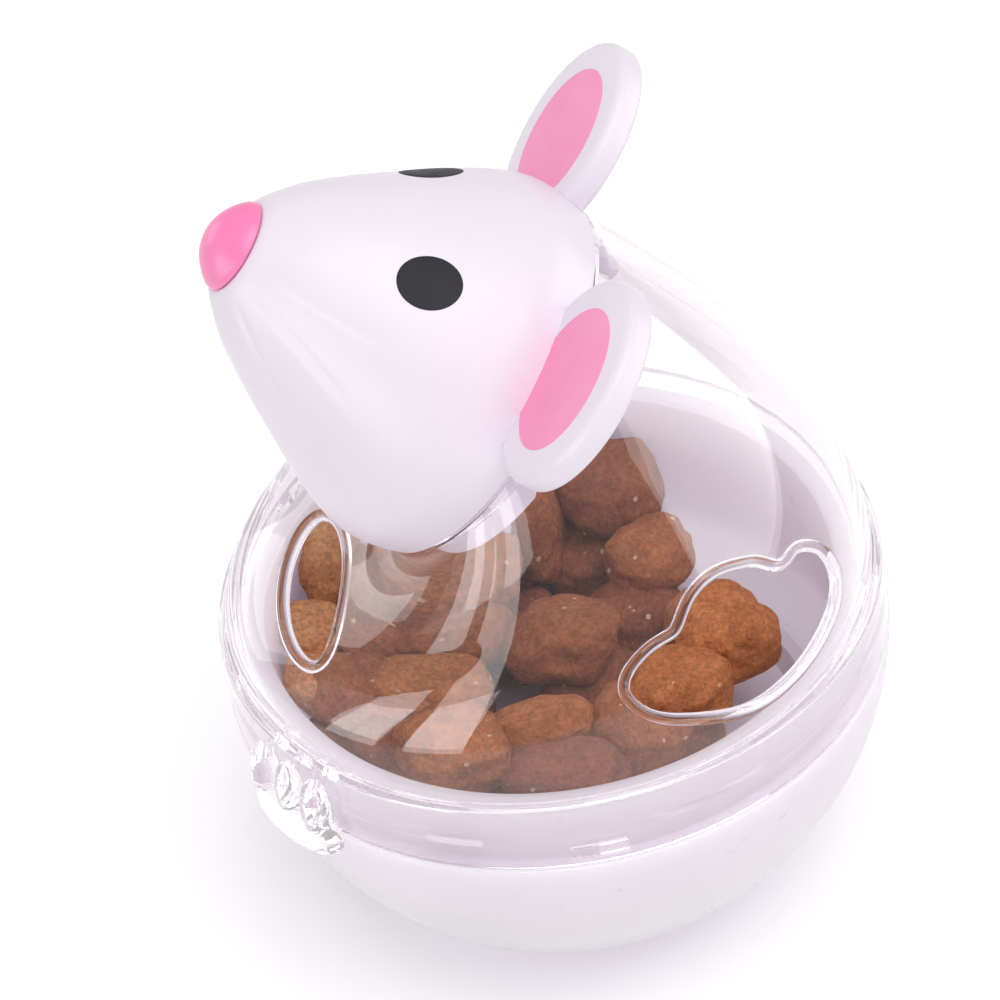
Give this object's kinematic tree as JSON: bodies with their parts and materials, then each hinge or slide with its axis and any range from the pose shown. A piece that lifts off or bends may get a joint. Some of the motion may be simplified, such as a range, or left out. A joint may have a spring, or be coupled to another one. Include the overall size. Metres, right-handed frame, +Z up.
{
  "type": "roly-poly mouse treat dispenser",
  "caption": "Roly-poly mouse treat dispenser: weighted white bowl, clear lid with treat holes, plugged-on white mouse head with pink nose and ears.",
  "frame": {"origin": "centre of the small flat under the bowl, on the floor", "axes": "+Z up along the bowl's axis, the mouse faces -Y, its left side is +X"},
  "size_m": [0.0648, 0.0648, 0.0842],
  "materials": {
    "white_plastic": "glossy",
    "clear_plastic": "clear, glossy",
    "pink_plastic": "glossy",
    "pink_print": "flat print",
    "black_print": "flat print",
    "weight_steel": "plain"
  },
  "bodies": {
    "bowl_body": {"bowl": "white_plastic", "counterweight": "weight_steel", "weight_cover": "white_plastic"},
    "lid_body": {"lid": "clear_plastic"},
    "head_body": {"head_shell": "white_plastic", "head_collar": "white_plastic", "nose": "pink_plastic", "eye_left": "black_print", "eye_right": "black_print", "ear_left": "white_plastic", "ear_right": "white_plastic", "ear_pad_left": "pink_print", "ear_pad_right": "pink_print"}
  },
  "joints": [
    {"name": "lid_lift", "type": "slide", "parent": "bowl_body", "child": "lid_body", "axis": [0, 0, 1], "range_m": [0, 0.06]},
    {"name": "head_pull", "type": "slide", "parent": "lid_body", "child": "head_body", "axis": [0, -0.7385, 0.6743], "range_m": [0, 0.03]}
  ]
}
